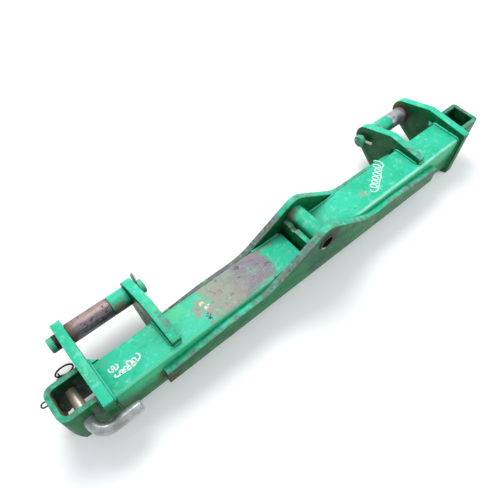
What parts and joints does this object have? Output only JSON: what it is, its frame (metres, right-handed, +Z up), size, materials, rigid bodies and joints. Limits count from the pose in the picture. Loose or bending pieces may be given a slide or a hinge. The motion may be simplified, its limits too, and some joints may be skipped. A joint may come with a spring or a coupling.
{
  "type": "quick coupler",
  "caption": "Box-beam three-point quick coupler with hooked pin clevises, stand sockets at its ends and a raised pivot bore at the middle.",
  "frame": {"origin": "middle of the bounding box in plan, on the plane the coupler rests on", "axes": "+X along the beam, +Y towards the hitch pins, +Z up"},
  "size_m": [1.5202, 0.3102, 0.246],
  "materials": {
    "green_paint": "worn gloss enamel, chipped and rusted at the edges",
    "sleeve_paint": "worn gloss enamel",
    "worn_steel": "dark polished and rust stained",
    "pin_steel": "dark steel with paint left on the ends",
    "spring_pin": "dull with light rust",
    "plated_steel": "worn zinc",
    "dark_wire": "dark oxide"
  },
  "bodies": {
    "frame": {"beam_tube_left": "green_paint", "beam_tube_right": "green_paint", "centre_web": "green_paint", "side_plate_front": "green_paint", "side_plate_back": "green_paint", "pivot_bushing": "green_paint", "outer_plate_left": "green_paint", "outer_plate_right": "green_paint", "inner_ear_left": "green_paint", "inner_ear_right": "green_paint", "corner_gusset_left": "green_paint", "corner_gusset_right": "green_paint", "stand_socket_left": "green_paint", "stand_socket_right": "green_paint", "tether_loop": "dark_wire"},
    "hitch_pin_left": {"hitch_pin_left": "pin_steel", "roll_pin_left": "spring_pin"},
    "hitch_pin_right": {"hitch_pin_right": "pin_steel", "roll_pin_right": "spring_pin"},
    "wear_sleeve_left": {"wear_sleeve_left": "worn_steel"},
    "spacer_sleeve_left": {"spacer_sleeve_left": "sleeve_paint"},
    "wear_sleeve_right": {"wear_sleeve_right": "worn_steel"},
    "spacer_sleeve_right": {"spacer_sleeve_right": "sleeve_paint"},
    "j_pin": {"j_pin": "plated_steel"},
    "linch_pin": {"linch_pin": "dark_wire"},
    "linch_pin_ring": {"linch_pin_ring": "dark_wire"}
  },
  "joints": [
    {"name": "hitch_pin_left_float", "type": "slide", "parent": "frame", "child": "hitch_pin_left", "axis": [1, 0, 0], "range_m": [-0.0045, 0.012]},
    {"name": "wear_sleeve_left_spin", "type": "hinge", "parent": "frame", "child": "wear_sleeve_left", "pos_m": [-0.55226, 0.1174, 0.1075], "axis": [1, 0, 0], "continuous": true},
    {"name": "spacer_sleeve_left_spin", "type": "hinge", "parent": "frame", "child": "spacer_sleeve_left", "pos_m": [-0.55226, 0.1174, 0.1075], "axis": [1, 0, 0], "continuous": true},
    {"name": "hitch_pin_right_float", "type": "slide", "parent": "frame", "child": "hitch_pin_right", "axis": [-1, 0, 0], "range_m": [-0.0045, 0.012]},
    {"name": "wear_sleeve_right_spin", "type": "hinge", "parent": "frame", "child": "wear_sleeve_right", "pos_m": [0.56774, 0.1174, 0.1075], "axis": [1, 0, 0], "continuous": true},
    {"name": "spacer_sleeve_right_spin", "type": "hinge", "parent": "frame", "child": "spacer_sleeve_right", "pos_m": [0.56774, 0.1174, 0.1075], "axis": [1, 0, 0], "continuous": true},
    {"name": "j_pin_turn", "type": "hinge", "parent": "frame", "child": "j_pin", "pos_m": [-0.69826, -0.04585, 0.108], "axis": [0, 1, 0], "range_deg": [-170, 0]},
    {"name": "linch_pin_pull", "type": "slide", "parent": "j_pin", "child": "linch_pin", "axis": [0, 0, 1], "range_m": [0, 0.045]},
    {"name": "linch_ring_flip", "type": "hinge", "parent": "linch_pin", "child": "linch_pin_ring", "pos_m": [-0.69826, 0.02215, 0.133], "axis": [-1, 0, 0], "range_deg": [0, 110]}
  ]
}
